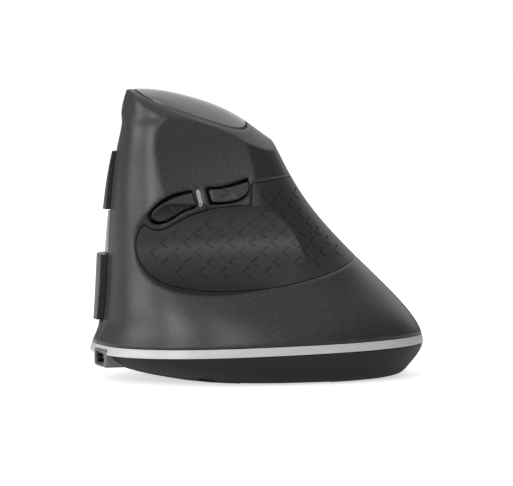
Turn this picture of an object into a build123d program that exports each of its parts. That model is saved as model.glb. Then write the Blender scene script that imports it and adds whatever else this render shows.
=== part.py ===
from build123d import *
from math import cos, radians, sin, sqrt, tan, pi
import os

# Right-handed vertical computer mouse, in millimetres.
# +Z is up, +Y is the front where the fingers point, -X is the thumb side, +X the finger side.
# The origin is on the desk, under the centre of the base.

# Driving dimensions
wall = 2.2                # thickness of the outer shells
grip_thickness = 1.1      # rubber of the thumb grip
cap_thickness = 1.4       # top lens
seam = 0.22               # gap of a fixed seam
cap_groove = 0.7          # groove round the top lens
button_gap = 0.5          # gap round a part that moves
button_wall = 2.0         # thickness of the main buttons
left_nose = 1.3           # how far the tip of the left button reaches past the body
right_nose = 2.0          # and the tip of the right button
side_button_rise = 0.9    # how far the side buttons stand out of the thumb side
seam_rise = 1.2           # degrees: the light strip climbs towards the back
strip_low = 8.3           # height of the strip's lower face over the origin
strip_high = 10.7         # height of its upper face over the origin
strip_depth = 3.4         # from its outer face inwards
desk_drop = 0.6           # heights in this file are measured from a level this far above the desk
sole = -0.2               # height of the tray's flat underside
tray_wall = 2.0
board_thickness = 1.6
wheel_radius = 11.5
wheel_width = 6.4
wheel_depth = 8.0         # of the wheel's axle below the finger side
click_travel = 0.45       # of the wheel and its carrier

# The body's outline at each height, above the desk:
# (height, front, back, thumb side, finger side, x of the tips, y of the widest place, front and back squareness)
hull_lines = [
    (5.0, 47.0, -48.9, -36.0, 36.5, 0.0, 1.0, 2.5, 2.3),
    (10.5, 47.0, -48.9, -36.0, 36.5, 0.0, 1.0, 2.5, 2.3),
    (14.0, 45.6, -47.6, -35.0, 35.8, 0.0, 1.0, 2.5, 2.3),
    (19.0, 44.7, -44.4, -32.6, 34.6, 0.0, 3.0, 2.6, 2.2),
    (27.0, 44.0, -37.2, -27.6, 32.2, 1.0, 7.0, 2.7, 2.1),
    (37.0, 43.5, -26.9, -22.8, 28.6, 1.5, 11.0, 2.8, 2.1),
    (49.0, 42.8, -15.8, -19.4, 23.4, 1.0, 14.0, 2.9, 2.1),
    (61.0, 41.7, -7.8, -17.0, 17.2, 0.0, 17.0, 2.9, 2.1),
    (73.0, 40.0, 0.5, -15.2, 10.6, -1.0, 19.0, 2.9, 2.1),
    (87.0, 37.8, 7.0, -13.0, 4.0, -2.5, 21.0, 2.9, 2.1),
]
tray_lines = [
    (sole, 26.0, -39.0, -28.5, 28.5, 0.0, -4.0, 2.2, 2.4),
    (0.8, 31.5, -42.3, -31.0, 31.3, 0.0, -4.0, 2.2, 2.4),
    (3.2, 40.5, -45.0, -33.6, 34.1, 0.0, -2.0, 2.4, 2.3),
    (7.0, 46.6, -48.0, -35.6, 36.1, 0.0, 1.0, 2.5, 2.3),
    (10.5, 47.0, -48.9, -36.0, 36.5, 0.0, 1.0, 2.5, 2.3),
]
outline_points = 20

# Height of the ridge along the mouse, and the radius that crowns it from side to side
ridge = [(-70, 63), (-40, 63), (-20, 64), (-10, 65.4), (-4, 68.4), (0, 71.1), (5, 74.5), (11.7, 77.9),
         (22.8, 81.3), (32.0, 82.8), (39.0, 82.6), (54, 77.5)]
crown_x = 1.0
crown_radius = 10.0

# Outlines on the thumb side, as (y, z). Each run is a straight line or a smooth curve.
grip_edge = [
    [(-40, 60.5), (-7.8, 57.6), (6.7, 56.0)],
    [(6.7, 56.0), (7.2, 49.6)],
    [(7.2, 49.6), (15.0, 49.3), (23.0, 47.4), (28.0, 44.9), (32.3, 42.9), (37.6, 44.6)],
    [(37.6, 44.6), (39.5, 41.0), (39.8, 37.4), (38.4, 32.6), (33.7, 28.4), (27.0, 26.6), (20.5, 26.0),
     (10.7, 26.2), (1.9, 27.1), (-7.8, 28.7), (-17.0, 30.8), (-25.0, 33.3), (-40, 38.5)],
    [(-40, 38.5), (-40, 60.5)],
]
forward_face = [
    [(24.6, 53.5), (23.6, 49.6)],
    [(23.6, 49.6), (28.0, 47.9), (32.4, 45.5), (34.7, 45.7), (35.9, 47.3), (34.6, 49.3), (31.2, 51.6), (24.6, 53.5)],
]
forward_pocket = [
    [(24.2, 54.2), (23.0, 48.9)],
    [(23.0, 48.9), (27.6, 47.2), (32.1, 44.6), (35.2, 44.9), (36.8, 47.2), (35.2, 50.1), (31.7, 52.5), (24.2, 54.2)],
]
back_face = [
    [(19.6, 54.4), (18.9, 50.9)],
    [(18.9, 50.9), (13.7, 51.1), (9.4, 52.9), (8.5, 56.6)],
    [(8.5, 56.6), (12.0, 55.3), (19.6, 54.4)],
]
back_pocket = [
    [(20.4, 55.0), (19.6, 50.1)],
    [(19.6, 50.1), (13.5, 50.3), (8.7, 52.4), (7.7, 57.7)],
    [(7.7, 57.7), (12.2, 56.0), (20.4, 55.0)],
]
indicator_center = (22.3, 51.9)
indicator_length = 5.0
indicator_width = 1.2
indicator_tilt = 80       # degrees from level

# Outlines on the finger side, as (y, z)
left_button_edge = [(-4.0, 42.0), (-1.5, 42.0), (-0.2, 46.6), (37.0, 46.6), (39.0, 48.2), (60.0, 48.2),
                    (60.0, 64.2), (24.0, 65.6), (9.0, 64.0)]
right_button_edge = [(-4.0, 41.4), (-1.5, 41.4), (-0.2, 36.6), (37.0, 36.6), (39.0, 35.2), (60.0, 35.2),
                     (60.0, 17.2), (24.0, 15.4), (-7.0, 16.0)]
button_opening = [(-4.0, 41.7), (-7.0, 16.0), (24.0, 15.4), (60.0, 17.2), (60.0, 64.2), (24.0, 65.6), (9.0, 64.0)]
bezel_edge = [(-0.6, 40.4), (0.4, 37.2), (37.0, 37.2), (39.4, 35.8), (60.0, 35.8), (60.0, 47.6), (39.4, 47.6),
              (37.0, 46.0), (0.4, 46.0), (-0.6, 43.0)]

# Top lens, seen from above, as (x, y)
cap_edge = [(-2.2, 36.8), (-5.8, 35.4), (-8.8, 31.6), (-11.0, 24.0), (-11.6, 15.0), (-9.8, 8.2), (-5.0, 4.6),
            (0.0, 4.6), (3.8, 9.6), (5.2, 18.0), (5.4, 27.0), (4.2, 33.8), (1.4, 36.6)]

# The finger side round the wheel: local x runs to the front, local y up the slope, local z outwards
finger_side = Plane(origin=(26.3, 22.0, 41.5), x_dir=(0, 1, 0), z_dir=(0.918, 0, 0.397))


def hull_outline(line, inset, nose=0):
    height, front, back, thumb, finger, tip_x, wide_y, front_power, back_power = line
    points = []
    for k in range(outline_points):
        turn = 2 * pi * k / outline_points
        power = front_power if sin(turn) >= 0 else back_power
        across = abs(cos(turn)) ** (2 / power)
        along = abs(sin(turn)) ** (2 / power)
        reach_x = finger - inset - tip_x if cos(turn) >= 0 else thumb + inset - tip_x
        reach_y = front - inset + nose - wide_y if sin(turn) >= 0 else back + inset - wide_y
        points.append((tip_x + reach_x * across, wide_y + reach_y * along))
    return points


def loft_lines(lines, inset, nose=0):
    with BuildPart() as hull:
        for line in lines:
            with BuildSketch(Plane.XY.offset(line[0])):
                with BuildLine():
                    Spline(*hull_outline(line, inset, nose), periodic=True)
                make_face()
        loft()
    return hull.part


def body(inset, nose=0):
    """The mouse's outer shape above the tray, taken in by inset on every side."""
    with BuildPart() as hull:
        add(loft_lines(hull_lines, inset, nose))
        add(crown(inset), mode=Mode.INTERSECT)
        add(thumb_hollow(inset), mode=Mode.SUBTRACT)
        add(thumb_panel(inset), mode=Mode.SUBTRACT)
    return hull.part


def crown_drop(x):
    """How far the crowned top lies below the ridge at a distance x from it."""
    return sqrt(x**2 + crown_radius**2) - crown_radius


def crown(inset):
    with BuildPart() as top:
        for x in (-42, -28, -18, -9, 0, 9, 18, 28, 42):
            with BuildSketch(Plane.YZ.offset(crown_x + x)):
                with BuildLine():
                    back_y, front_y = ridge[0][0], ridge[-1][0]
                    drop = crown_drop(x) + inset
                    Spline(*[(y, z - drop) for y, z in ridge])
                    Polyline((front_y, ridge[-1][1] - drop), (front_y, -30), (back_y, -30),
                             (back_y, ridge[0][1] - drop))
                make_face()
        loft()
    return top.part


def thumb_hollow(inset):
    """The long scoop the thumb rests in, lower at the front."""
    with BuildPart() as hollow:
        Sphere(1)
        scale(by=(28 + inset, 78 + inset, 19.5 + inset))
    turned = hollow.part.rotate(Axis.X, -3).rotate(Axis.Z, -13)
    return turned.moved(Location((-44.6, 6.2, 42.4)))


def thumb_panel(inset):
    """The nearly flat face over the side buttons, cut as one wide shallow scoop."""
    with BuildPart() as panel:
        Sphere(1)
        scale(by=(60 + inset, 130 + inset, 70 + inset))
    return panel.part.rotate(Axis.Z, -2).moved(Location((-73.6, 22, 74)))


def grown(points, amount):
    """The closed outline moved outwards by amount."""
    count = len(points)
    area = sum(points[k - 1][0] * points[k][1] - points[k][0] * points[k - 1][1] for k in range(count))
    way = 1 if area > 0 else -1
    moved = []
    for k in range(count):
        here = Vector(*points[k])
        before = (here - Vector(*points[k - 1])).normalized()
        after = (Vector(*points[(k + 1) % count]) - here).normalized()
        out_before = Vector(before.Y, -before.X) * way
        out_after = Vector(after.Y, -after.X) * way
        step = (out_before + out_after) * (amount / (1 + out_before.dot(out_after)))
        moved.append((here.X + step.X, here.Y + step.Y))
    return moved


def grown_runs(runs, amount):
    moved = grown([point for run in runs for point in run[:-1]], amount)
    result = []
    start = 0
    for run in runs:
        result.append([moved[(start + k) % len(moved)] for k in range(len(run))])
        start += len(run) - 1
    return result


def side_prism(runs, start_x, end_x, radius=0.0, grow=0.0):
    """A bar along X whose section is the outline made by the runs."""
    with BuildPart() as bar:
        with BuildSketch(Plane.YZ.offset(start_x)):
            with BuildLine():
                for run in grown_runs(runs, grow):
                    if len(run) == 2:
                        Line(*run)
                    else:
                        Spline(*run)
            face = make_face()
            if radius:
                fillet(face.vertices(), radius)
        extrude(amount=end_x - start_x)
    return bar.part


def finger_prism(edge, grow=0.0):
    """A bar along X through the finger side only, with rounded corners."""
    with BuildPart() as bar:
        with BuildSketch(Plane.YZ.offset(4.6 - grow)):
            with BuildLine():
                Polyline(*edge, close=True)
            face = make_face()
            fillet(face.vertices(), 0.8)
            if grow:
                offset(amount=grow)
        extrude(amount=50)
    return bar.part


def cap_prism(grow):
    with BuildPart() as bar:
        with BuildSketch(Plane.XY.offset(55)):
            with BuildLine():
                Spline(*grown(cap_edge, grow), periodic=True)
            make_face()
        extrude(amount=40)
    return bar.part


def band(low, high):
    """Everything between two planes that climb towards the back like the light strip."""
    lean = radians(seam_rise)
    floor = Plane(origin=(0, 0, low), x_dir=(1, 0, 0), z_dir=(0, sin(lean), cos(lean)))
    with BuildPart() as slab:
        with BuildSketch(floor):
            Rectangle(160, 160)
        extrude(amount=high - low)
    return slab.part


def half(side):
    """The thumb half (side -1) or the finger half (side +1), up to the parting seam."""
    gap = side * seam / 2
    with BuildPart() as block:
        with BuildSketch():
            with BuildLine():
                Polyline((-3.0 + gap, -60), (3.0 + gap, 60), (side * 60, 60), (side * 60, -60), close=True)
            make_face()
        extrude(amount=100)
    return block.part


def finger_block(center_x, center_y, size_x, size_y, low, high, corner=0.0):
    """A block standing on the finger side's own plane, between two depths."""
    with BuildPart() as block:
        with BuildSketch(finger_side.offset(low)):
            with Locations((center_x, center_y)):
                if corner:
                    RectangleRounded(size_x, size_y, corner)
                else:
                    Rectangle(size_x, size_y)
        extrude(amount=high - low)
    return block.part


def finger_pin(center_x, center_y, radius, low, high):
    with BuildPart() as pin:
        with BuildSketch(finger_side.offset(low)):
            with Locations((center_x, center_y)):
                Circle(radius)
        extrude(amount=high - low)
    return pin.part


def block(x, y, z):
    """A plain box between the two ends given for each direction."""
    with BuildPart() as box:
        with Locations(((x[0] + x[1]) / 2, (y[0] + y[1]) / 2, (z[0] + z[1]) / 2)):
            Box(x[1] - x[0], y[1] - y[0], z[1] - z[0])
    return box.part


def upright(x, y, radius, low, high):
    with BuildPart() as post:
        with BuildSketch(Plane.XY.offset(low)):
            with Locations((x, y)):
                Circle(radius)
        extrude(amount=high - low)
    return post.part


def save(part, name):
    lifted = part.moved(Location((0, 0, desk_drop)))
    lifted.label = name
    export_step(lifted, f"parts/{name}.step")
    print(name, round(lifted.volume, 1), len(lifted.solids()), lifted.is_valid)


os.makedirs("parts", exist_ok=True)

# Shared shapes
outer = body(0)
inner = body(wall)
below_strip = band(-40, strip_low - seam)
above_strip = band(strip_high + seam, 110)
thumb_half = half(-1)
finger_half = half(1)

# Light strip and the port housing that interrupts it
port_x = (-8.0, 4.0)
port_y = (38.0, 47.8)
port_z = (3.6, 8.6)
port_center = (-2.0, 6.1)

with BuildPart() as light_strip:
    add(loft_lines(hull_lines, 0.1))
    add(loft_lines(hull_lines, strip_depth), mode=Mode.SUBTRACT)
    add(band(strip_low, strip_high), mode=Mode.INTERSECT)
    add(block((port_x[0] - seam, port_x[1] + seam), (37, 60), (0, port_z[1] + seam)), mode=Mode.SUBTRACT)

with BuildPart() as port_housing:
    add(block(port_x, port_y, port_z))
    fillet(port_housing.edges().filter_by(Axis.Y), 0.9)
    chamfer(port_housing.faces().sort_by(Axis.Y)[-1].edges(), 0.4)
    with BuildSketch(Plane(origin=(port_center[0], 60, port_center[1]), x_dir=(1, 0, 0), z_dir=(0, -1, 0))):
        SlotOverall(9.6, 3.7)
    extrude(amount=30, mode=Mode.SUBTRACT)

with BuildPart() as usb_socket:
    with BuildSketch(Plane(origin=(port_center[0], 47.3, port_center[1]), x_dir=(1, 0, 0), z_dir=(0, -1, 0))):
        SlotOverall(9.0, 3.2)
        SlotOverall(8.4, 2.6, mode=Mode.SUBTRACT)
    extrude(amount=8)
    add(block((port_center[0] - 3.9, port_center[0] + 3.9), (38.5, 40.0), (port_center[1] - 1.4, port_center[1] + 1.4)))
    add(block((port_center[0] - 3.3, port_center[0] + 3.3), (39.5, 46.2), (port_center[1] - 0.35, port_center[1] + 0.35)))

# Bottom tray
screw_spots = [(-22, 22), (22, 22), (-22, -24), (22, -24)]
board_spots = [(-14, -7), (14, -7), (-13, 30), (13, 30)]
bay_x = (-7.5, 7.5)
bay_y = (-33.3, -13.9)
bay_top = 5.7
switch_slot_x = (11.2, 14.8)
switch_slot_y = (2.4, 9.6)
sensor_spot = (2.0, 5.0)


def foot(front, grow, low, high):
    """A crescent along the edge of the sole, at the front or at the back."""
    middle = 34.0 if front else -36.0
    with BuildPart() as pad:
        with BuildSketch(Plane.XY.offset(low)):
            with BuildLine():
                Spline(*hull_outline(tray_lines[0], 2.8 - grow), periodic=True)
            make_face()
            with BuildLine():
                Spline(*hull_outline(tray_lines[0], 9.0 + grow), periodic=True)
            make_face(mode=Mode.SUBTRACT)
            with Locations((0, middle)):
                Rectangle(80, 44 + 2 * grow, mode=Mode.INTERSECT)
            if not front:
                with Locations((0, -30)):
                    Rectangle(22 - 2 * grow, 40, mode=Mode.SUBTRACT)
        extrude(amount=high - low)
    return pad.part


with BuildPart() as bosses:
    for x, y in screw_spots:
        add(upright(x, y, 3.2, -1, 9.9))
    for x, y in board_spots:
        add(upright(x, y, 2.2, -1, 5.5))
    add(block((bay_x[0] - 1.4, bay_x[1] + 1.4), (bay_y[0] - 1.4, bay_y[1] + 1.4), (-1, bay_top + 1.3)))
    add(loft_lines(tray_lines, tray_wall / 2), mode=Mode.INTERSECT)

with BuildPart() as bottom_tray:
    add(loft_lines(tray_lines, 0))
    add(loft_lines(tray_lines, tray_wall).moved(Location((0, 0, tray_wall))), mode=Mode.SUBTRACT)
    add(bosses.part)
    add(below_strip, mode=Mode.INTERSECT)
    add(block((port_x[0] - seam, port_x[1] + seam), (37, 60), (port_z[0] - seam, 20)), mode=Mode.SUBTRACT)
    add(block(bay_x, bay_y, (-1, bay_top)), mode=Mode.SUBTRACT)
    add(block(switch_slot_x, switch_slot_y, (-1, 4)), mode=Mode.SUBTRACT)
    with BuildSketch(Plane.XY.offset(-1)):
        with Locations(sensor_spot):
            RectangleRounded(9, 11, 2.5)
    extrude(amount=4, mode=Mode.SUBTRACT)
    for x, y in screw_spots:
        add(upright(x, y, 2.5, -1, 3.4), mode=Mode.SUBTRACT)
        add(upright(x, y, 1.35, -1, 12), mode=Mode.SUBTRACT)
    for x, y in board_spots:
        add(upright(x, y, 1.1, 3.6, 12), mode=Mode.SUBTRACT)
    add(foot(True, 0.2, -1, sole + 0.4), mode=Mode.SUBTRACT)
    add(foot(False, 0.2, -1, sole + 0.4), mode=Mode.SUBTRACT)

save(bottom_tray.part, "bottom_tray")
save(light_strip.part, "light_strip")
save(port_housing.part, "port_housing")
save(usb_socket.part, "usb_socket")
save(foot(True, 0, -desk_drop, sole + 0.35), "front_foot")
save(foot(False, 0, -desk_drop, sole + 0.35), "rear_feet")

# Upper shells
with BuildPart() as shell_ring:
    add(outer)
    add(inner, mode=Mode.SUBTRACT)
    add(above_strip, mode=Mode.INTERSECT)

with BuildPart() as cap_recess:
    add(cap_prism(cap_groove / 2))
    add(body(cap_thickness + 0.08), mode=Mode.SUBTRACT)

with BuildPart() as grip_recess:
    add(side_prism(grip_edge, -50, 20, radius=0.9, grow=seam / 2))
    add(body(grip_thickness + 0.08), mode=Mode.SUBTRACT)


def indicator_bar(grow, end_x):
    with BuildPart() as bar:
        with BuildSketch(Plane.YZ.offset(-30)):
            with Locations(indicator_center):
                SlotOverall(indicator_length + 2 * grow, indicator_width + 2 * grow, rotation=indicator_tilt)
        extrude(amount=end_x + 30)
    return bar.part


with BuildPart() as thumb_shell:
    add(shell_ring.part)
    add(thumb_half, mode=Mode.INTERSECT)
    add(grip_recess.part, mode=Mode.SUBTRACT)
    add(cap_recess.part, mode=Mode.SUBTRACT)
    add(side_prism(forward_pocket, -30, -2, radius=0.5), mode=Mode.SUBTRACT)
    add(side_prism(back_pocket, -30, -2, radius=0.5), mode=Mode.SUBTRACT)
    add(indicator_bar(0.08, -2), mode=Mode.SUBTRACT)

with BuildPart() as palm_shell:
    add(shell_ring.part)
    add(finger_half, mode=Mode.INTERSECT)
    add(cap_recess.part, mode=Mode.SUBTRACT)
    add(finger_prism(button_opening, button_gap), mode=Mode.SUBTRACT)

with BuildPart() as top_cap:
    add(outer)
    add(cap_prism(-cap_groove / 2), mode=Mode.INTERSECT)
    add(body(cap_thickness), mode=Mode.SUBTRACT)

with BuildPart() as thumb_grip:
    add(outer)
    add(body(grip_thickness), mode=Mode.SUBTRACT)
    add(side_prism(grip_edge, -50, 20, radius=0.9, grow=-seam / 2), mode=Mode.INTERSECT)
    add(thumb_half, mode=Mode.INTERSECT)

save(thumb_shell.part, "thumb_shell")
save(palm_shell.part, "palm_shell")
save(top_cap.part, "top_cap")
save(thumb_grip.part, "thumb_grip")

# Side buttons and the lit window between them
raised = body(-side_button_rise)
side_button_end = -12.6

with BuildPart() as forward_button:
    add(raised)
    add(side_prism(forward_face, -30, side_button_end, radius=0.5), mode=Mode.INTERSECT)

with BuildPart() as back_button:
    add(raised)
    with BuildSketch(Plane.XY.offset(48)):
        with BuildLine():
            Polyline((-17.0, 15.0), (-19.2, 7.0), (side_button_end, 7.0), (side_button_end, 15.0), close=True)
        make_face()
    extrude(amount=12)
    add(side_prism(back_face, -30, side_button_end, radius=0.5), mode=Mode.INTERSECT)

with BuildPart() as indicator_window:
    add(outer)
    add(indicator_bar(0, side_button_end), mode=Mode.INTERSECT)

save(forward_button.part, "forward_button")
save(back_button.part, "back_button")
save(indicator_window.part, "indicator_window")

# Main buttons
under_buttons = body(button_wall)
for name, edge, nose, post_x, post_y in (("left_button", left_button_edge, left_nose, 2.0, 17.0),
                                         ("right_button", right_button_edge, right_nose, -6.0, -17.0)):
    with BuildPart() as main_button:
        add(body(0, nose))
        add(finger_prism(edge), mode=Mode.INTERSECT)
        add(under_buttons, mode=Mode.SUBTRACT)
        add(finger_pin(post_x, post_y, 1.4, -3.8, -1.6))
    save(main_button.part, name)

# Bezel between the main buttons, with the wheel slot and the sensitivity button's hole
slot_length = 2 * wheel_radius + 1.0
slot_width = wheel_width + 1.6
dpi_x = -17.4

with BuildPart() as wheel_bezel:
    add(body(0.4))
    add(body(wall + 0.6), mode=Mode.SUBTRACT)
    add(finger_prism(bezel_edge), mode=Mode.INTERSECT)
    add(finger_block(0, 0, slot_length, slot_width, -12, 6, corner=2.6), mode=Mode.SUBTRACT)
    add(finger_block(dpi_x, 0, 8.6, 4.2, -8, 6, corner=2.05), mode=Mode.SUBTRACT)
save(wheel_bezel.part, "wheel_bezel")

with BuildPart() as dpi_button:
    add(finger_block(dpi_x, 0, 7.6, 3.2, -3.6, 0.6, corner=1.55))
    outer_face = dpi_button.faces().sort_by(Axis((0, 0, 0), (0.918, 0, 0.397)))[-1]
    fillet(outer_face.edges(), 0.4)
    add(finger_pin(dpi_x, 0, 1.0, -6.1, -3.0))
save(dpi_button.part, "dpi_button")

# Scroll wheel, turning on the carrier that clicks inwards with it
wheel_plane = Plane(origin=(26.3 - 0.918 * wheel_depth, 22.0, 41.5 - 0.397 * wheel_depth),
                    x_dir=(0, 1, 0), z_dir=(-0.397, 0, 0.918))
rim_radius = 9.2
cheek_gap = wheel_width / 2 + 0.5
cheek = 1.2


def wheel_disc(radius, width, hole=0.0):
    with BuildPart() as disc:
        with BuildSketch(wheel_plane.offset(-width / 2)):
            Circle(radius)
            if hole:
                Circle(hole, mode=Mode.SUBTRACT)
        extrude(amount=width)
    return disc.part


with BuildPart() as wheel_core:
    add(wheel_disc(rim_radius, wheel_width, 7.6))
    add(wheel_disc(7.8, 2.0))
    add(wheel_disc(2.8, wheel_width + 0.4))
    add(wheel_disc(1.3, 2 * (cheek_gap + cheek) + 0.8))
    with BuildSketch(wheel_plane.offset(-2)):
        with PolarLocations(5.2, 6):
            Circle(1.3)
    extrude(amount=4, mode=Mode.SUBTRACT)

with BuildPart() as wheel_tyre:
    add(wheel_disc(wheel_radius, wheel_width, rim_radius + 0.05))
    chamfer(wheel_tyre.edges().filter_by(GeomType.CIRCLE).group_by(SortBy.RADIUS)[-1], 0.7)
    with BuildSketch(wheel_plane.offset(-wheel_width / 2)):
        with PolarLocations(wheel_radius, 30):
            Rectangle(1.2, 0.9)
    extrude(amount=wheel_width, mode=Mode.SUBTRACT)

with BuildPart() as wheel_carrier:
    for side in (-1, 1):
        middle = side * (cheek_gap + cheek / 2)
        add(finger_block(0, middle, 7.0, cheek, -21.8, -4.6))
    add(finger_block(0, 0, 7.0, 2 * (cheek_gap + cheek), -21.8, -20.4))
    add(wheel_disc(1.5, 30), mode=Mode.SUBTRACT)

save(wheel_core.part, "wheel_core")
save(wheel_tyre.part, "wheel_tyre")
save(wheel_carrier.part, "wheel_carrier")

# Board under the finger side, with its switches and the wheel's encoder
board_top = -10.5
board_floor = board_top - board_thickness

with BuildPart() as finger_board:
    add(finger_block(-5, 0, 34, 44, board_floor, board_top))
    fillet(finger_board.edges().filter_by(Axis((0, 0, 0), (0.918, 0, 0.397))), 2.0)
    add(finger_block(8, 0, 41, 11.8, -20, 0), mode=Mode.SUBTRACT)
    add(finger_block(9, -16, 12, 20, -20, 0), mode=Mode.SUBTRACT)
save(finger_board.part, "finger_board")


def micro_switch(center_x, center_y, length, width, top, plunger, radius):
    with BuildPart() as switch:
        add(finger_block(center_x, center_y, length, width, board_top + 0.02, top))
        add(finger_pin(center_x + length / 5, center_y, radius, top - 0.2, plunger))
    return switch.part


save(micro_switch(-0.6, 17, 12.8, 5.8, -5.0, -4.3, 1.0), "left_switch")
save(micro_switch(-8.6, -17, 12.8, 5.8, -5.0, -4.3, 1.0), "right_switch")
save(micro_switch(dpi_x - 1.0, 0, 5.0, 5.0, -7.4, -6.7, 1.0), "dpi_switch")

with BuildPart() as wheel_encoder:
    add(finger_block(0, 8.6, 10.0, 3.6, board_top + 0.02, -3.9))
save(wheel_encoder.part, "wheel_encoder")

with BuildPart() as wheel_switch:
    add(finger_block(0, 0, 6.0, 6.0, -25.8, -23.2))
    add(finger_pin(0, 0, 1.4, -23.3, -22.5))
save(wheel_switch.part, "wheel_switch")

# Board behind the side buttons
side_board_x = (-8.6, -7.4)

with BuildPart() as side_board:
    with BuildSketch(Plane.YZ.offset(side_board_x[0])):
        with Locations((22, 51.5)):
            RectangleRounded(30, 12, 1.5)
    extrude(amount=side_board_x[1] - side_board_x[0])
save(side_board.part, "side_board")

for name, y, z in (("forward_switch", 29.5, 49.4), ("back_switch", 13.6, 53.0)):
    with BuildPart() as side_switch:
        add(block((-11.2, side_board_x[0] - 0.02), (y - 2.3, y + 2.3), (z - 2.3, z + 2.3)))
        with BuildSketch(Plane.YZ.offset(-11.8)):
            with Locations((y, z)):
                Circle(1.2)
        extrude(amount=0.8)
    save(side_switch.part, name)

with BuildPart() as indicator_led:
    add(block((-12.2, side_board_x[0] - 0.02), (21.5, 23.1), (50.6, 53.2)))
save(indicator_led.part, "indicator_led")

# Main board over the tray, with the optical sensor
board_z = (5.6, 7.2)

with BuildPart() as main_board:
    with BuildSketch(Plane.XY.offset(board_z[0])):
        with Locations((0, 12)):
            RectangleRounded(34, 44, 2)
        with Locations(board_spots[0], board_spots[1], board_spots[2], board_spots[3]):
            Circle(1.2, mode=Mode.SUBTRACT)
        with Locations(sensor_spot):
            Rectangle(6, 8, mode=Mode.SUBTRACT)
    extrude(amount=board_thickness)
save(main_board.part, "main_board")

with BuildPart() as optical_sensor:
    add(block((sensor_spot[0] - 5.5, sensor_spot[0] + 5.5), (sensor_spot[1] - 8, sensor_spot[1] + 8), (7.22, 9.5)))
    chamfer(optical_sensor.faces().sort_by(Axis.Z)[-1].edges(), 0.5)
save(optical_sensor.part, "optical_sensor")

with BuildPart() as sensor_lens:
    add(block((sensor_spot[0] - 7, sensor_spot[0] + 7), (sensor_spot[1] - 9, sensor_spot[1] + 9), (4.4, 5.5)))
    with BuildSketch(Plane.XY.offset(0.6)):
        with Locations(sensor_spot):
            RectangleRounded(8.2, 10.2, 2.2)
    extrude(amount=4.0)
save(sensor_lens.part, "sensor_lens")

with BuildPart() as board_chips:
    add(block((-12.5, -5.5), (16, 23), (7.22, 8.3)))
    add(block((-13.5, -10.5), (8, 11), (7.22, 8.6)))
    add(block((11.5, 16.0), (-4, 2), (7.22, 9.6)))
    add(block((5, 9), (22, 26), (7.22, 8.2)))
    for y in (16, 18.5, 21):
        add(block((13, 14.2), (y, y + 0.8), (7.22, 7.9)))
save(board_chips.part, "board_chips")

with BuildPart() as power_switch:
    add(block((9.4, 16.6), (0.4, 11.6), (2.8, 5.4)))
    add(block((10.9, 15.1), (1.9, 10.1), (0, 4.4)), mode=Mode.SUBTRACT)
save(power_switch.part, "power_switch")

with BuildPart() as power_knob:
    add(block((11.6, 14.4), (2.8, 6.4), (0.4, 4.2)))
    with BuildSketch(Plane.XY.offset(0.4)):
        with Locations((13, 3.7), (13, 4.6), (13, 5.5)):
            Rectangle(2.8, 0.4)
    extrude(amount=0.4, mode=Mode.SUBTRACT)
save(power_knob.part, "power_knob")

# Receiver stored in its bay, plug towards the front
with BuildPart() as nano_receiver:
    add(block((bay_x[0] + 0.3, bay_x[1] - 0.3), (bay_y[0] + 0.3, -26.4), (0.4, 5.4)))
    fillet(nano_receiver.edges().filter_by(Axis.Z), 1.5)
    add(block((-6, 6), (-26.6, bay_y[1] - 0.3), (0.7, 5.2)))
    for x in (-3, 3):
        add(block((x - 1.1, x + 1.1), (-19, -16.5), (0, 1.1)), mode=Mode.SUBTRACT)
save(nano_receiver.part, "nano_receiver")

# Battery and the frame that carries the two upper boards
with BuildPart() as battery:
    add(block((-15, 15), (-33, -1), (11.8, 17.8)))
    fillet(battery.edges().filter_by(Axis.Z), 2.5)
    add(block((-3, 3), (-1.2, 0.6), (13.2, 16.4)))
save(battery.part, "battery")

with BuildPart() as inner_frame:
    with BuildSketch(Plane.XY.offset(10.0)):
        RectangleRounded(51, 56, 6)
        with Locations((0, 10)):
            Rectangle(28, 26, mode=Mode.SUBTRACT)
        with Locations(*screw_spots):
            Circle(1.3, mode=Mode.SUBTRACT)
    extrude(amount=1.6)
    with BuildSketch(Plane.YZ.offset(-3.6)):
        with BuildLine():
            Polyline((3, 10.5), (34, 10.5), (34, 60), (28, 66), (10, 66), (3, 58), close=True)
        frame_face = make_face()
        fillet(frame_face.vertices(), 2)
        with Locations((18.5, 24), (18.5, 58)):
            RectangleRounded(18, 8, 2, mode=Mode.SUBTRACT)
    extrude(amount=1.8)
    add(block((-3.6, -1.8), (3, 34), (10.0, 13)))
    for x in (-19, 9):
        add(finger_pin(x, 15, 1.8, -24.6, board_floor - 0.02))
        add(finger_pin(x, -15, 1.8, -38.4, board_floor - 0.02))
    add(finger_block(0, 0, 8, 8, -31.0, -25.82))
    for y in (10.5, 33.0):
        with BuildSketch(Plane.YZ.offset(side_board_x[1] + 0.02)):
            with Locations((y, 51.5)):
                Circle(1.8)
        extrude(amount=4.5)
save(inner_frame.part, "inner_frame")

# Screws
with BuildPart() as case_screws:
    for x, y in screw_spots:
        add(upright(x, y, 2.2, 1.6, 3.3))
        add(upright(x, y, 1.15, 3.0, 12.6))
        add(block((x - 1.6, x + 1.6), (y - 0.3, y + 0.3), (1.0, 2.3)), mode=Mode.SUBTRACT)
        add(block((x - 0.3, x + 0.3), (y - 1.6, y + 1.6), (1.0, 2.3)), mode=Mode.SUBTRACT)
save(case_screws.part, "case_screws")

with BuildPart() as board_screws:
    for x, y in board_spots:
        add(upright(x, y, 1.9, 7.22, 8.4))
        add(upright(x, y, 0.9, 3.9, 7.4))
        add(block((x - 1.3, x + 1.3), (y - 0.25, y + 0.25), (7.8, 9)), mode=Mode.SUBTRACT)
save(board_screws.part, "board_screws")
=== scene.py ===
import math

import bmesh
import bpy
from mathutils import Matrix, Vector


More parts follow.
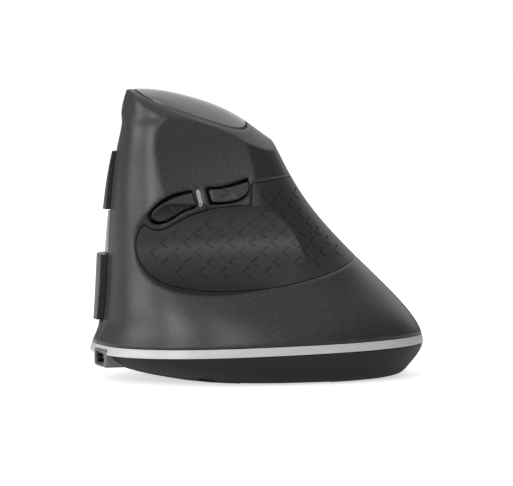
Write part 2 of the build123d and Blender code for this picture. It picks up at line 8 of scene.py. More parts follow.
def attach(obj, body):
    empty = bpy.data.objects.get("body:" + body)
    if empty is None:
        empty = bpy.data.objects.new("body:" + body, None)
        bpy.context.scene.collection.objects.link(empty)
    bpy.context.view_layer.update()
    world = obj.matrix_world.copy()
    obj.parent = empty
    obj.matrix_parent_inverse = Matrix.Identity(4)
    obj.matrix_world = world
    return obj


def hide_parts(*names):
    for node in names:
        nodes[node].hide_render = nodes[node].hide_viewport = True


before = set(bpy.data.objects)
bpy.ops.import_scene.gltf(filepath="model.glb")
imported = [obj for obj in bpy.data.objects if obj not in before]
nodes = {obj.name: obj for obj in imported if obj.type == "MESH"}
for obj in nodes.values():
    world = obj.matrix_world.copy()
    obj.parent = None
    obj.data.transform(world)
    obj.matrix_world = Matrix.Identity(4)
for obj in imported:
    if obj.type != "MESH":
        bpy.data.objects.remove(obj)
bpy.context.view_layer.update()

# Right-hand vertical mouse: looks, small engraved details, light and camera.
# Metres, +Z up, +Y is the front, -X is the thumb side.


# Shader groups

patternLook = {
    "flakeTurn": (0.63, 0.41, 0.87),    # keeps the cells from lining up with flat faces
    "flakeRim": 0.45,                   # how far from its middle a flake starts to shine
    "flakeHeart": 0.15,                 # and where it shines fully
    "pitDetail": 3.0,
    "pitRoughness": 0.6,
    "rippleScale": 0.17,                # against the scale of the pits
    "rippleDetail": 1.0,
    "smearScale": 55.0,
    "smearDetail": 5.0,
    "smearRoughness": 0.62,
    "smearSwirl": 0.6,
    "edgePolish": -0.12,                # added to the roughness of a worn edge
    "edgeLift": 0.5,                    # added to its tone
    "edgeSamples": 6,
    "edgeFlat": 0.98,                   # agreement of the normals on an unworn face
    "edgeWorn": 0.7,
    "brushStretch": (0.04, 1.0, 1.0),
    "brushDetail": 2.0,
    "brushDark": 0.7,
    "brushLight": 1.15,
    "trackStart": 0.78,
    "trackFull": 0.82,
    "padRim": 0.14,
    "padHeart": 0.11,
}


def newGroup(name, inputs, outputs):
    group = bpy.data.node_groups.new(name, "ShaderNodeTree")
    for label, kind, value in inputs:
        socket = group.interface.new_socket(name=label, in_out="INPUT", socket_type=kind)
        if value is not None:
            socket.default_value = value
    for label, kind in outputs:
        group.interface.new_socket(name=label, in_out="OUTPUT", socket_type=kind)
    start = group.nodes.new("NodeGroupInput")
    end = group.nodes.new("NodeGroupOutput")
    return group, start, end


def addNode(tree, kind, settings=None, values=None):
    node = tree.nodes.new(kind)
    for key, value in (settings or {}).items():
        setattr(node, key, value)
    for key, value in (values or {}).items():
        node.inputs[key].default_value = value
    return node


def mixColors(tree, factor, first, second):
    mix = addNode(tree, "ShaderNodeMix", {"data_type": "RGBA"})
    tree.links.new(factor, mix.inputs["Factor"])
    for socket, source in ((mix.inputs[6], first), (mix.inputs[7], second)):
        if isinstance(source, tuple):
            socket.default_value = source
        else:
            tree.links.new(source, socket)
    return mix.outputs[2]


def makeFlakeGroup():
    # Bright specks of metallic paint: a few cells of a fine cell pattern shine
    group, start, end = newGroup(
        "metalFlake",
        [("Base", "NodeSocketColor", (0.03, 0.03, 0.03, 1)),
         ("Flake", "NodeSocketColor", (0.4, 0.4, 0.4, 1)),
         ("Scale", "NodeSocketFloat", 3500.0), ("Amount", "NodeSocketFloat", 0.05)],
        [("Color", "NodeSocketColor")])
    coords = addNode(group, "ShaderNodeTexCoord")
    turned = addNode(group, "ShaderNodeMapping", None, {"Rotation": patternLook["flakeTurn"]})
    group.links.new(coords.outputs["Object"], turned.inputs["Vector"])
    cells = addNode(group, "ShaderNodeTexVoronoi")
    group.links.new(turned.outputs["Vector"], cells.inputs["Vector"])
    group.links.new(start.outputs["Scale"], cells.inputs["Scale"])
    split = addNode(group, "ShaderNodeSeparateColor")
    group.links.new(cells.outputs["Color"], split.inputs["Color"])
    rarity = addNode(group, "ShaderNodeMath", {"operation": "LESS_THAN"})
    group.links.new(split.outputs["Red"], rarity.inputs[0])
    group.links.new(start.outputs["Amount"], rarity.inputs[1])
    core = addNode(group, "ShaderNodeMapRange", None,
                   {"From Min": patternLook["flakeRim"], "From Max": patternLook["flakeHeart"]})
    group.links.new(cells.outputs["Distance"], core.inputs["Value"])
    lit = addNode(group, "ShaderNodeMath", {"operation": "MULTIPLY"})
    group.links.new(rarity.outputs[0], lit.inputs[0])
    group.links.new(core.outputs["Result"], lit.inputs[1])
    level = addNode(group, "ShaderNodeMath", {"operation": "MULTIPLY"})
    group.links.new(lit.outputs[0], level.inputs[0])
    group.links.new(split.outputs["Green"], level.inputs[1])
    color = mixColors(group, level.outputs[0], start.outputs["Base"], start.outputs["Flake"])
    group.links.new(color, end.inputs["Color"])
    return group


def makeGrainGroup():
    # The fine skin of a moulded part: small pits over a slightly larger ripple
    group, start, end = newGroup(
        "mouldedGrain",
        [("Scale", "NodeSocketFloat", 4000.0), ("Ripple", "NodeSocketFloat", 0.4)],
        [("Height", "NodeSocketFloat")])
    coords = addNode(group, "ShaderNodeTexCoord")
    pits = addNode(group, "ShaderNodeTexNoise", None,
                   {"Detail": patternLook["pitDetail"], "Roughness": patternLook["pitRoughness"]})
    group.links.new(coords.outputs["Object"], pits.inputs["Vector"])
    group.links.new(start.outputs["Scale"], pits.inputs["Scale"])
    wide = addNode(group, "ShaderNodeMath", {"operation": "MULTIPLY"},
                   {1: patternLook["rippleScale"]})
    group.links.new(start.outputs["Scale"], wide.inputs[0])
    ripple = addNode(group, "ShaderNodeTexNoise", None, {"Detail": patternLook["rippleDetail"]})
    group.links.new(coords.outputs["Object"], ripple.inputs["Vector"])
    group.links.new(wide.outputs[0], ripple.inputs["Scale"])
    share = addNode(group, "ShaderNodeMath", {"operation": "MULTIPLY"})
    group.links.new(ripple.outputs["Fac"], share.inputs[0])
    group.links.new(start.outputs["Ripple"], share.inputs[1])
    total = addNode(group, "ShaderNodeMath", {"operation": "ADD"})
    group.links.new(pits.outputs["Fac"], total.inputs[0])
    group.links.new(share.outputs[0], total.inputs[1])
    group.links.new(total.outputs[0], end.inputs["Height"])
    return group


def makeHandlingGroup():
    # Uneven gloss and tone from handling: faint smears, and polish on worn edges
    group, start, end = newGroup(
        "handling",
        [("Color", "NodeSocketColor", (0.03, 0.03, 0.03, 1)),
         ("Roughness", "NodeSocketFloat", 0.4), ("Smear", "NodeSocketFloat", 0.08),
         ("Tone", "NodeSocketFloat", 0.12), ("Edge", "NodeSocketFloat", 0.0)],
        [("Color", "NodeSocketColor"), ("Roughness", "NodeSocketFloat")])
    coords = addNode(group, "ShaderNodeTexCoord")
    smears = addNode(group, "ShaderNodeTexNoise", None,
                     {"Scale": patternLook["smearScale"], "Detail": patternLook["smearDetail"],
                      "Roughness": patternLook["smearRoughness"],
                      "Distortion": patternLook["smearSwirl"]})
    group.links.new(coords.outputs["Object"], smears.inputs["Vector"])
    centred = addNode(group, "ShaderNodeMath", {"operation": "SUBTRACT"}, {1: 0.5})
    group.links.new(smears.outputs["Fac"], centred.inputs[0])
    swing = addNode(group, "ShaderNodeMath", {"operation": "MULTIPLY"})
    group.links.new(centred.outputs[0], swing.inputs[0])
    group.links.new(start.outputs["Smear"], swing.inputs[1])
    rough = addNode(group, "ShaderNodeMath", {"operation": "ADD"})
    group.links.new(start.outputs["Roughness"], rough.inputs[0])
    group.links.new(swing.outputs[0], rough.inputs[1])
    polish = addNode(group, "ShaderNodeMath", {"operation": "MULTIPLY_ADD", "use_clamp": True},
                     {1: patternLook["edgePolish"]})
    group.links.new(start.outputs["Edge"], polish.inputs[0])
    group.links.new(rough.outputs[0], polish.inputs[2])
    group.links.new(polish.outputs[0], end.inputs["Roughness"])
    shade = addNode(group, "ShaderNodeMath", {"operation": "MULTIPLY_ADD"}, {2: 1.0})
    group.links.new(centred.outputs[0], shade.inputs[0])
    group.links.new(start.outputs["Tone"], shade.inputs[1])
    lift = addNode(group, "ShaderNodeMath", {"operation": "MULTIPLY_ADD"},
                   {1: patternLook["edgeLift"]})
    group.links.new(start.outputs["Edge"], lift.inputs[0])
    group.links.new(shade.outputs[0], lift.inputs[2])
    tint = addNode(group, "ShaderNodeVectorMath", {"operation": "SCALE"})
    group.links.new(start.outputs["Color"], tint.inputs[0])
    group.links.new(lift.outputs[0], tint.inputs["Scale"])
    group.links.new(tint.outputs[0], end.inputs["Color"])
    return group


def makeEdgeGroup():
    # A small round on sharp edges, and a mask of where they are
    group, start, end = newGroup(
        "softEdge",
        [("Radius", "NodeSocketFloat", 0.0002)],
        [("Normal", "NodeSocketVector"), ("Edge", "NodeSocketFloat")])
    rounding = addNode(group, "ShaderNodeBevel", {"samples": patternLook["edgeSamples"]})
    group.links.new(start.outputs["Radius"], rounding.inputs["Radius"])
    surface = addNode(group, "ShaderNodeNewGeometry")
    agree = addNode(group, "ShaderNodeVectorMath", {"operation": "DOT_PRODUCT"})
    group.links.new(rounding.outputs["Normal"], agree.inputs[0])
    group.links.new(surface.outputs["Normal"], agree.inputs[1])
    mask = addNode(group, "ShaderNodeMapRange", None,
                   {"From Min": patternLook["edgeFlat"], "From Max": patternLook["edgeWorn"]})
    group.links.new(agree.outputs["Value"], mask.inputs["Value"])
    group.links.new(rounding.outputs["Normal"], end.inputs["Normal"])
    group.links.new(mask.outputs["Result"], end.inputs["Edge"])
    return group


def makeBrushGroup():
    # Fine parallel lines of drawn or brushed metal, along X
    group, start, end = newGroup(
        "brushLines",
        [("Scale", "NodeSocketFloat", 2500.0)],
        [("Height", "NodeSocketFloat"), ("Tone", "NodeSocketFloat")])
    coords = addNode(group, "ShaderNodeTexCoord")
    stretch = addNode(group, "ShaderNodeMapping", None, {"Scale": patternLook["brushStretch"]})
    group.links.new(coords.outputs["Object"], stretch.inputs["Vector"])
    lines = addNode(group, "ShaderNodeTexNoise", None, {"Detail": patternLook["brushDetail"]})
    group.links.new(stretch.outputs["Vector"], lines.inputs["Vector"])
    group.links.new(start.outputs["Scale"], lines.inputs["Scale"])
    group.links.new(lines.outputs["Fac"], end.inputs["Height"])
    tone = addNode(group, "ShaderNodeMapRange", None,
                   {"To Min": patternLook["brushDark"], "To Max": patternLook["brushLight"]})
    group.links.new(lines.outputs["Fac"], tone.inputs["Value"])
    group.links.new(tone.outputs["Result"], end.inputs["Tone"])
    return group


def makeTraceGroup():
    # Copper tracks under solder mask, and bare pads
    group, start, end = newGroup(
        "boardTracks",
        [("Mask", "NodeSocketColor", (0.01, 0.08, 0.03, 1)),
         ("Track", "NodeSocketColor", (0.03, 0.16, 0.06, 1)),
         ("Pad", "NodeSocketColor", (0.6, 0.45, 0.2, 1)), ("Scale", "NodeSocketFloat", 450.0)],
        [("Color", "NodeSocketColor"), ("Height", "NodeSocketFloat")])
    coords = addNode(group, "ShaderNodeTexCoord")
    tracks = addNode(group, "ShaderNodeTexVoronoi", {"distance": "MANHATTAN", "feature": "F2"})
    group.links.new(coords.outputs["Object"], tracks.inputs["Vector"])
    group.links.new(start.outputs["Scale"], tracks.inputs["Scale"])
    near = addNode(group, "ShaderNodeMapRange", None,
                   {"From Min": patternLook["trackStart"], "From Max": patternLook["trackFull"]})
    group.links.new(tracks.outputs["Distance"], near.inputs["Value"])
    pads = addNode(group, "ShaderNodeTexVoronoi")
    group.links.new(coords.outputs["Object"], pads.inputs["Vector"])
    group.links.new(start.outputs["Scale"], pads.inputs["Scale"])
    dots = addNode(group, "ShaderNodeMapRange", None,
                   {"From Min": patternLook["padRim"], "From Max": patternLook["padHeart"]})
    group.links.new(pads.outputs["Distance"], dots.inputs["Value"])
    layer = mixColors(group, near.outputs["Result"], start.outputs["Mask"], start.outputs["Track"])
    color = mixColors(group, dots.outputs["Result"], layer, start.outputs["Pad"])
    group.links.new(color, end.inputs["Color"])
    group.links.new(near.outputs["Result"], end.inputs["Height"])
    return group


shaderGroups = {
    "flake": makeFlakeGroup(),
    "grain": makeGrainGroup(),
    "handling": makeHandlingGroup(),
    "edge": makeEdgeGroup(),
    "brush": makeBrushGroup(),
    "tracks": makeTraceGroup(),
}
print("shader groups made")


# Finishes: color is the moulded or painted base, edge the radius of a soft edge in metres

finishes = {
    "shellPaint": {
        "color": (0.017, 0.0165, 0.016), "roughness": 0.36, "flake": 0.14,
        "flakeTone": 0.23, "flakeScale": 5000, "grain": 5200, "bump": 0.05, "smear": 0.10,
        "edge": 0.0017,
    },
    "buttonPaint": {
        "color": (0.017, 0.0165, 0.016), "roughness": 0.34, "flake": 0.14,
        "flakeTone": 0.23, "flakeScale": 5000, "grain": 5200, "bump": 0.05, "smear": 0.12,
        "edge": 0.0003,
    },
    "gripRubber": {
        "color": (0.015, 0.0147, 0.0144), "roughness": 0.42, "flake": 0.03,
        "flakeTone": 0.2, "flakeScale": 5200, "grain": 4300, "bump": 0.12, "smear": 0.14,
        "edge": 0.00012,
    },
    "lensGloss": {
        "color": (0.060, 0.057, 0.055), "roughness": 0.30, "coat": 0.7,
        "coatRoughness": 0.22, "grain": 900, "bump": 0.01, "smear": 0.05, "edge": 0.0003,
    },
    "sideButtonPlastic": {
        "color": (0.019, 0.019, 0.019), "roughness": 0.30, "grain": 5200, "bump": 0.05,
        "smear": 0.12, "edge": 0.0008,
    },
    "trayPlastic": {
        "color": (0.010, 0.010, 0.010), "roughness": 0.50, "specular": 0.35, "grain": 2600,
        "bump": 0.22, "smear": 0.10, "edge": 0.0003,
    },
    "portPlastic": {
        "color": (0.13, 0.128, 0.126), "roughness": 0.45, "grain": 3500, "bump": 0.12,
        "smear": 0.10, "edge": 0.0002,
    },
    "bezelGloss": {
        "color": (0.012, 0.012, 0.012), "roughness": 0.18, "coat": 0.5,
        "coatRoughness": 0.05, "grain": 1200, "bump": 0.02, "smear": 0.08, "edge": 0.0002,
    },
    "wheelPlastic": {
        "color": (0.030, 0.030, 0.031), "roughness": 0.34, "grain": 4200, "bump": 0.08,
        "smear": 0.10, "edge": 0.0002,
    },
    "tyreRubber": {
        "color": (0.020, 0.020, 0.020), "roughness": 0.66, "specular": 0.35, "grain": 2600,
        "bump": 0.30, "smear": 0.14, "edge": 0.0002, "sheen": 0.15,
    },
    "footGlide": {
        "color": (0.013, 0.013, 0.014), "roughness": 0.28, "grain": 1800, "bump": 0.05,
        "smear": 0.25, "edge": 0.0002,
    },
    "framePlastic": {
        "color": (0.060, 0.060, 0.062), "roughness": 0.55, "specular": 0.4, "grain": 2800,
        "bump": 0.2, "smear": 0.10, "edge": 0.0002,
    },
    "switchPlastic": {
        "color": (0.028, 0.028, 0.030), "roughness": 0.42, "grain": 3200, "bump": 0.12,
        "smear": 0.08, "edge": 0.0001,
    },
    "chipPlastic": {
        "color": (0.014, 0.014, 0.015), "roughness": 0.48, "grain": 6000, "bump": 0.2,
        "smear": 0.06, "edge": 0.0001,
    },
    "knobPlastic": {
        "color": (0.42, 0.42, 0.41), "roughness": 0.36, "grain": 3500, "bump": 0.08,
        "smear": 0.12, "edge": 0.0001,
    },
    "receiverPlastic": {
        "color": (0.028, 0.028, 0.028), "roughness": 0.44, "grain": 3600, "bump": 0.16,
        "smear": 0.10, "edge": 0.0002,
    },
    "stripDiffuser": {
        "color": (0.50, 0.50, 0.50), "roughness": 0.34, "grain": 2400, "bump": 0.06,
        "smear": 0.10, "edge": 0.0003, "subsurface": 0.35,
    },
    "indicatorDiffuser": {
        "color": (0.30, 0.30, 0.30), "roughness": 0.30, "grain": 2600, "bump": 0.05,
        "smear": 0.08, "edge": 0.0002, "subsurface": 0.3,
    },
    "clearPlastic": {
        "color": (0.85, 0.87, 0.88), "roughness": 0.05, "grain": 900, "bump": 0.01,
        "smear": 0.05, "edge": 0.0001, "transmission": 0.9,
    },
    "batteryFoil": {
        "color": (0.55, 0.55, 0.57), "roughness": 0.30, "grain": 260, "bump": 0.35,
        "smear": 0.15, "edge": 0.0003, "metallic": 0.85,
    },
    "steel": {
        "color": (0.52, 0.51, 0.50), "roughness": 0.28, "brush": 2600, "bump": 0.15,
        "smear": 0.15, "edge": 0.0001, "metallic": 1.0,
    },
    "socketMetal": {
        "color": (0.16, 0.16, 0.16), "roughness": 0.35, "brush": 2600, "bump": 0.10,
        "smear": 0.10, "edge": 0.0001, "metallic": 1.0,
    },
    "boardLaminate": {
        "color": (0.004, 0.026, 0.012), "roughness": 0.32, "tracks": 420, "bump": 0.25,
        "smear": 0.08, "edge": 0.0001,
    },
}


skinLook = {
    "specular": 0.5,
    "flakeGreen": 0.98,          # of the flakes' red, so they are a little warm
    "flakeBlue": 0.95,
    "bumpDistance": 0.0001,
    "coatRoughness": 0.1,
    "glowRadius": (1.0, 1.0, 1.0),
    "glowScale": 0.0015,         # how far light spreads inside a diffuser
}


def placeGroup(tree, name, values):
    node = tree.nodes.new("ShaderNodeGroup")
    node.node_tree = shaderGroups[name]
    for key, value in values.items():
        node.inputs[key].default_value = value
    return node


def buildFinish(name, look):
    material = bpy.data.materials.new(name)
    material.use_nodes = True
    tree = material.node_tree
    shader = tree.nodes["Principled BSDF"]
    base = (*look["color"], 1.0)
    edge = placeGroup(tree, "edge", {"Radius": look["edge"]})
    handled = placeGroup(tree, "handling",
                         {"Color": base, "Roughness": look["roughness"], "Smear": look["smear"]})
    tree.links.new(edge.outputs["Edge"], handled.inputs["Edge"])
    height = None
    if "flake" in look:
        tone = look["flakeTone"]
        shine = (tone, tone * skinLook["flakeGreen"], tone * skinLook["flakeBlue"], 1.0)
        flakes = placeGroup(tree, "flake", {"Base": base, "Flake": shine,
                                            "Scale": look["flakeScale"], "Amount": look["flake"]})
        tree.links.new(flakes.outputs["Color"], handled.inputs["Color"])
    if "tracks" in look:
        tracks = placeGroup(tree, "tracks", {"Mask": base, "Scale": look["tracks"]})
        tree.links.new(tracks.outputs["Color"], handled.inputs["Color"])
        height = tracks.outputs["Height"]
    if "brush" in look:
        brush = placeGroup(tree, "brush", {"Scale": look["brush"]})
        lined = addNode(tree, "ShaderNodeVectorMath", {"operation": "SCALE"}, {0: look["color"]})
        tree.links.new(brush.outputs["Tone"], lined.inputs["Scale"])
        tree.links.new(lined.outputs[0], handled.inputs["Color"])
        height = brush.outputs["Height"]
    if "grain" in look:
        height = placeGroup(tree, "grain", {"Scale": look["grain"]}).outputs["Height"]
    bump = addNode(tree, "ShaderNodeBump", None,
                   {"Strength": look["bump"], "Distance": skinLook["bumpDistance"]})
    tree.links.new(height, bump.inputs["Height"])
    tree.links.new(edge.outputs["Normal"], bump.inputs["Normal"])
    tree.links.new(handled.outputs["Color"], shader.inputs["Base Color"])
    tree.links.new(handled.outputs["Roughness"], shader.inputs["Roughness"])
    tree.links.new(bump.outputs["Normal"], shader.inputs["Normal"])
    sockets = {
        "Specular IOR Level": look.get("specular", skinLook["specular"]),
        "Metallic": look.get("metallic", 0.0),
        "Coat Weight": look.get("coat", 0.0),
        "Coat Roughness": look.get("coatRoughness", skinLook["coatRoughness"]),
        "Sheen Weight": look.get("sheen", 0.0),
        "Transmission Weight": look.get("transmission", 0.0),
        "Subsurface Weight": look.get("subsurface", 0.0),
        "Subsurface Radius": skinLook["glowRadius"],
        "Subsurface Scale": skinLook["glowScale"],
    }
    for socket, value in sockets.items():
        shader.inputs[socket].default_value = value
    return material


materials = {name: buildFinish(name, look) for name, look in finishes.items()}
print("finishes made")

nodeFinish = {
    "shellPaint": ["thumb_shell", "palm_shell"],
    "buttonPaint": ["left_button", "right_button"],
    "gripRubber": ["thumb_grip"],
    "lensGloss": ["top_cap"],
    "sideButtonPlastic": ["forward_button", "back_button", "dpi_button"],
    "trayPlastic": ["bottom_tray"],
    "portPlastic": ["port_housing"],
    "bezelGloss": ["wheel_bezel"],
    "wheelPlastic": ["wheel_core"],
    "tyreRubber": ["wheel_tyre"],
    "footGlide": ["front_foot", "rear_feet"],
    "framePlastic": ["inner_frame", "wheel_carrier"],
    "switchPlastic": ["left_switch", "right_switch", "dpi_switch", "wheel_encoder",
                      "wheel_switch", "forward_switch", "back_switch", "power_switch"],
    "chipPlastic": ["optical_sensor", "board_chips"],
    "knobPlastic": ["power_knob"],
    "receiverPlastic": ["nano_receiver"],
    "stripDiffuser": ["light_strip"],
    "indicatorDiffuser": ["indicator_window", "indicator_led"],
    "clearPlastic": ["sensor_lens"],
    "batteryFoil": ["battery"],
    "steel": ["case_screws", "board_screws"],
    "socketMetal": ["usb_socket"],
    "boardLaminate": ["main_board", "finger_board", "side_board"],
}
for finishName, members in nodeFinish.items():
    for member in members:
        nodes[member].material_slots[0].material = materials[finishName]
print("finishes assigned")


# Modelling helpers

shapeLook = {
    "merge": 0.000002,                 # joins the loose triangles of a copied node
    "blank": 0.001,                    # size of a mark's first face, before its points are placed
    "cuts": 2,                         # splits a mark's faces so it can follow a curve
    "smooth": math.radians(30),
    "weight": 60,                      # of large faces in the weighted normals
    "outside": -0.06,                  # x of a mark before it is laid on the thumb side
    "deepest": -0.005,                 # x past which a ray has missed the outer face
}


def pickOnly(*pieces):
    bpy.ops.object.select_all(action="DESELECT")
    for piece in pieces:
        piece.select_set(True)
    bpy.context.view_layer.objects.active = pieces[0]


def mergedCopy(node, name):
    piece = nodes[node].copy()
    piece.data = nodes[node].data.copy()
    piece.name = name
    piece.parent = None
    for key in list(piece.keys()):
        del piece[key]
    bpy.context.scene.collection.objects.link(piece)
    pickOnly(piece)
    bpy.ops.object.mode_set(mode="EDIT")
    bpy.ops.mesh.select_all(action="SELECT")
    bpy.ops.mesh.remove_doubles(threshold=shapeLook["merge"])
    bpy.ops.object.mode_set(mode="OBJECT")
    bpy.ops.mesh.customdata_custom_splitnormals_clear()
    return piece


def selectPoints(piece, test):
    bpy.ops.mesh.select_all(action="DESELECT")
    shape = bmesh.from_edit_mesh(piece.data)
    for point in shape.verts:
        point.select_set(test(point.co))
    shape.select_flush(True)
    bmesh.update_edit_mesh(piece.data)


def applyModifier(piece, kind, settings):
    pickOnly(piece)
    modifier = piece.modifiers.new(kind.lower(), kind)
    for key, value in settings.items():
        setattr(modifier, key, value)
    bpy.ops.object.modifier_apply(modifier=modifier.name)


def drawStroke(name, path, across):
    # A flat band in the YZ plane that follows the path; every cut across it is the same
    bpy.ops.object.select_all(action="DESELECT")
    bpy.ops.mesh.primitive_plane_add(size=shapeLook["blank"], rotation=(0, math.pi / 2, 0))
    stroke = bpy.context.active_object
    stroke.name = name
    bpy.ops.object.transform_apply(location=True, rotation=True, scale=True)
    bpy.ops.object.mode_set(mode="EDIT")
    selectPoints(stroke, lambda co: co.z > 0)
    bpy.ops.mesh.delete(type="VERT")
    shape = bmesh.from_edit_mesh(stroke.data)
    for point, side in zip(shape.verts, (-0.5, 0.5)):
        point.co = (0, path[0][0] + side * across[0], path[0][1] + side * across[1])
        point.select_set(True)
    shape.select_flush(True)
    bmesh.update_edit_mesh(stroke.data)
    for before, after in zip(path, path[1:]):
        step = (0, after[0] - before[0], after[1] - before[1])
        bpy.ops.mesh.extrude_region_move(TRANSFORM_OT_translate={"value": step})
    bpy.ops.mesh.select_all(action="SELECT")
    bpy.ops.mesh.subdivide(number_cuts=shapeLook["cuts"])
    bpy.ops.object.mode_set(mode="OBJECT")
    return stroke


def engrave(piece, marks, depth):
    # Lays the flat marks on the piece's outer face, thickens them and cuts them away
    applyModifier(marks, "SHRINKWRAP", {
        "target": piece, "wrap_method": "PROJECT", "use_project_x": True, "use_project_y": False,
        "use_project_z": False, "use_positive_direction": True, "use_negative_direction": False})
    applyModifier(marks, "SOLIDIFY", {"thickness": 2 * depth, "offset": 0.0})
    pickOnly(marks)
    bpy.ops.object.mode_set(mode="EDIT")
    bpy.ops.mesh.select_all(action="SELECT")
    bpy.ops.mesh.normals_make_consistent(inside=False)
    bpy.ops.object.mode_set(mode="OBJECT")
    applyModifier(piece, "BOOLEAN", {
        "object": marks, "operation": "DIFFERENCE", "solver": "EXACT", "use_self": True})
    bpy.data.objects.remove(marks)


def smoothFaces(piece):
    pickOnly(piece)
    bpy.ops.object.shade_smooth_by_angle(angle=shapeLook["smooth"])
    applyModifier(piece, "WEIGHTED_NORMAL", {"keep_sharp": True, "weight": shapeLook["weight"]})


def placeCopy(mark, y, z, turn=0.0):
    copied = mark.copy()
    copied.data = mark.data.copy()
    bpy.context.scene.collection.objects.link(copied)
    place = Matrix.Translation((shapeLook["outside"], y, z))
    copied.data.transform(place @ Matrix.Rotation(turn, 4, "X"))
    return copied


# Thumb grip: rows of small V marks cut into the rubber, their tips to the front

gripLook = {
    "firstTip": (0.0359, 0.0315),   # y and z of the first mark's tip
    "step": 0.00662,                # from mark to mark towards the back
    "closing": 0.000062,            # the step shortens towards the back
    "rowShift": 0.5,                # every other row starts this part of a step further back
    "rowRise": 0.00272,
    "armBack": 0.0018,
    "armRise": 0.00142,
    "line": 0.00062,
    "depth": 0.00030,
    "margin": 0.0015,               # kept clear inside the rubber's edge
    "rows": 11,
    "columns": 11,
}


def markFits(piece, y, z, look):
    # The tip and both arm ends lie on the outer face, with the margin round them
    back, rise, margin = look["armBack"], look["armRise"], look["margin"]
    for dy, dz in ((0, 0), (-back, rise), (-back, -rise)):
        for edgeY, edgeZ in ((margin, 0), (-margin, 0), (0, margin), (0, -margin)):
            origin = (shapeLook["outside"], y + dy + edgeY, z + dz + edgeZ)
            found, point = piece.ray_cast(origin, (1, 0, 0))[:2]
            if not found or point.x > shapeLook["deepest"]:
                return False
    return True


def buildGrip(look):
    grip = mergedCopy("thumb_grip", "thumbGrip")
    back, rise = look["armBack"], look["armRise"]
    vee = drawStroke("veeMark", [(-back, rise), (0, 0), (-back, -rise)], (look["line"], 0))
    marks = []
    for row in range(look["rows"]):
        for column in range(look["columns"]):
            along = column + look["rowShift"] * (row % 2)
            y = look["firstTip"][0] - look["step"] * along + look["closing"] * along ** 2
            z = look["firstTip"][1] + look["rowRise"] * row
            if markFits(grip, y, z, look):
                marks.append(placeCopy(vee, y, z))
    bpy.data.objects.remove(vee)
    pickOnly(*marks)
    bpy.ops.object.join()
    engrave(grip, marks[0], look["depth"])
    smoothFaces(grip)
    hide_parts("thumb_grip")
    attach(grip, "case")
    return grip


grip = buildGrip(gripLook)
print("thumb grip engraved:", len(grip.data.polygons), "faces")


# Side buttons: a closed arrow cut into the front one and an open arrow into the back one

sideLook = {
    "line": 0.00038,
    "depth": 0.00026,
    "frontMark": (0.0297, 0.0498),    # y and z of the middle of the closed arrow
    "frontLength": 0.0034,
    "frontHeight": 0.0021,
    "frontTurn": math.radians(22),
    "backTip": (0.01265, 0.05425),    # tip of the open arrow
    "backLength": 0.0036,
    "backRise": 0.0010,
    "backTurn": math.radians(-4),
}


def drawTriangle(name, length, height, line):
    # A closed arrow outline that points to the front
    bpy.ops.object.select_all(action="DESELECT")
    bpy.ops.mesh.primitive_circle_add(vertices=3, radius=shapeLook["blank"], fill_type="NGON",
                                      rotation=(0, math.pi / 2, 0))
    mark = bpy.context.active_object
    mark.name = name
    bpy.ops.object.transform_apply(location=True, rotation=True, scale=True)
    corners = [(length / 2, 0), (-length / 2, height / 2), (-length / 2, -height / 2)]
    for point, corner in zip(mark.data.vertices, corners):
        point.co = (0, *corner)
    bpy.ops.object.mode_set(mode="EDIT")
    bpy.ops.mesh.select_all(action="SELECT")
    bpy.ops.mesh.inset(thickness=line)
    bpy.ops.mesh.delete(type="FACE")
    bpy.ops.mesh.select_all(action="SELECT")
    bpy.ops.mesh.subdivide(number_cuts=shapeLook["cuts"])
    bpy.ops.object.mode_set(mode="OBJECT")
    return mark


def buildSideButtons(look):
    front = mergedCopy("forward_button", "forwardButton")
    closed = drawTriangle("closedMark", look["frontLength"], look["frontHeight"], look["line"])
    engrave(front, placeCopy(closed, *look["frontMark"], turn=look["frontTurn"]), look["depth"])
    back = mergedCopy("back_button", "backButton")
    length, rise = look["backLength"], look["backRise"]
    opened = drawStroke("openMark", [(length, rise), (0, 0), (length, -rise)], (0, look["line"]))
    engrave(back, placeCopy(opened, *look["backTip"], turn=look["backTurn"]), look["depth"])
    bpy.data.objects.remove(closed)
    bpy.data.objects.remove(opened)
    for piece, node in ((front, "forward_button"), (back, "back_button")):
        smoothFaces(piece)
        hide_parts(node)
        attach(piece, node)


buildSideButtons(sideLook)
print("side buttons engraved")


# Floor, light and camera

stageLook = {
    "floorSize": 60.0,
    "floorColor": (0.80, 0.80, 0.80, 1.0),
    "floorRoughness": 0.9,
    "floorSpecular": 0.1,
    "floorGlow": 0.62,     # keeps the floor pale out to the horizon
    "floorLight": 0.10,    # what the same glow gives the mouse
    "skyCamera": 1.0,      # the backdrop as seen
    "skyLight": 0.20,      # the same backdrop as a light
}


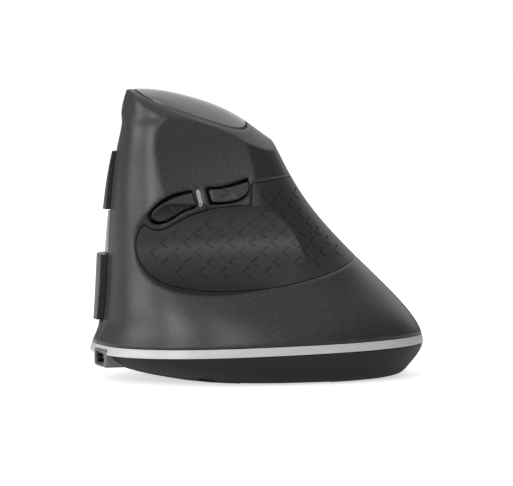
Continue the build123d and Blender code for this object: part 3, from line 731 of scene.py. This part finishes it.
def buildFloor(look):
    bpy.ops.object.select_all(action="DESELECT")
    bpy.ops.mesh.primitive_plane_add(size=look["floorSize"])
    floor = bpy.context.active_object
    floor.name = "floor"
    surface = bpy.data.materials.new("paleFloor")
    surface.use_nodes = True
    tree = surface.node_tree
    shader = tree.nodes["Principled BSDF"]
    shader.inputs["Base Color"].default_value = look["floorColor"]
    shader.inputs["Roughness"].default_value = look["floorRoughness"]
    shader.inputs["Specular IOR Level"].default_value = look["floorSpecular"]
    shader.inputs["Emission Color"].default_value = (1, 1, 1, 1)
    seen = addNode(tree, "ShaderNodeLightPath")
    glow = addNode(tree, "ShaderNodeMapRange", None,
                   {"To Min": look["floorLight"], "To Max": look["floorGlow"]})
    tree.links.new(seen.outputs["Is Camera Ray"], glow.inputs["Value"])
    tree.links.new(glow.outputs["Result"], shader.inputs["Emission Strength"])
    # From below the floor is clear, so the underside can be seen
    below = addNode(tree, "ShaderNodeNewGeometry")
    clear = addNode(tree, "ShaderNodeBsdfTransparent")
    either = addNode(tree, "ShaderNodeMixShader")
    tree.links.new(below.outputs["Backfacing"], either.inputs["Fac"])
    tree.links.new(shader.outputs["BSDF"], either.inputs[1])
    tree.links.new(clear.outputs["BSDF"], either.inputs[2])
    tree.links.new(either.outputs["Shader"], tree.nodes["Material Output"].inputs["Surface"])
    floor.data.materials.append(surface)


def buildSky(look):
    # White behind the mouse, but dim as a light
    world = bpy.data.worlds.new("studio")
    bpy.context.scene.world = world
    world.use_nodes = True
    tree = world.node_tree
    sky = tree.nodes["Background"]
    sky.inputs["Color"].default_value = (1, 1, 1, 1)
    seen = addNode(tree, "ShaderNodeLightPath")
    strength = addNode(tree, "ShaderNodeMapRange", None,
                       {"To Min": look["skyLight"], "To Max": look["skyCamera"]})
    tree.links.new(seen.outputs["Is Camera Ray"], strength.inputs["Value"])
    tree.links.new(strength.outputs["Result"], sky.inputs["Strength"])


lightLook = {
    # name: (place, size, power, color), all aimed at the same point
    "farPanel": ((0.95, -0.45, 0.75), (1.6, 1.2), 5.0, (1.0, 0.96, 0.94)),
    "frontSide": ((-0.85, 0.95, 0.28), (0.45, 1.0), 8.0, (1.0, 0.99, 0.98)),
    "frontLow": ((0.10, 1.20, 0.40), (1.0, 0.5), 5.0, (1.0, 0.99, 0.98)),
    "thumbSide": ((-1.15, 0.10, 0.62), (0.35, 0.45), 2.4, (1.0, 0.97, 0.95)),
}
lightAim = (0, 0, 0.04)            # the middle of the mouse
sunLook = {
    "strength": 1.25,
    "angle": math.radians(140),
    "tilt": math.radians(12),      # towards the thumb side
    "lean": math.radians(28),      # towards the front
}


def aimAt(thing, place, target):
    thing.location = place
    thing.rotation_mode = "QUATERNION"
    thing.rotation_quaternion = (Vector(target) - Vector(place)).to_track_quat("-Z", "Y")


def buildLights(lights):
    for name, (place, size, power, color) in lights.items():
        lamp = bpy.data.lights.new(name, "AREA")
        lamp.shape = "RECTANGLE"
        lamp.size, lamp.size_y = size
        lamp.energy = power
        lamp.color = color
        holder = bpy.data.objects.new(name, lamp)
        bpy.context.scene.collection.objects.link(holder)
        aimAt(holder, place, lightAim)


def buildOverhead(look):
    # One very wide, even light from above, so floor and mouse share a soft shadow
    lamp = bpy.data.lights.new("overhead", "SUN")
    lamp.energy = look["strength"]
    lamp.angle = look["angle"]
    holder = bpy.data.objects.new("overhead", lamp)
    bpy.context.scene.collection.objects.link(holder)
    holder.rotation_euler = (-look["lean"], -look["tilt"], 0)


cameraLook = {
    "turn": math.radians(18),      # from straight at the thumb side towards the front
    "tilt": math.radians(3),
    "distance": 1.0,
    "target": (0.0, 0.0, 0.03865),
    "lens": 241.98,
    "sensor": 36.0,
    "nearest": 0.01,
    "farthest": 50.0,
}


def buildCamera(look):
    lens = bpy.data.cameras.new("camera")
    lens.lens = look["lens"]
    lens.sensor_width = look["sensor"]
    lens.clip_start, lens.clip_end = look["nearest"], look["farthest"]
    camera = bpy.data.objects.new("camera", lens)
    bpy.context.scene.collection.objects.link(camera)
    turn, tilt = look["turn"], look["tilt"]
    level = math.cos(tilt)
    away = Vector((-math.cos(turn) * level, math.sin(turn) * level, math.sin(tilt)))
    target = Vector(look["target"])
    aimAt(camera, target + away * look["distance"], target)
    bpy.context.scene.camera = camera


buildFloor(stageLook)
buildSky(stageLook)
buildLights(lightLook)
buildOverhead(sunLook)
buildCamera(cameraLook)
bpy.context.scene.view_settings.view_transform = "Standard"
print("stage, lights and camera made")
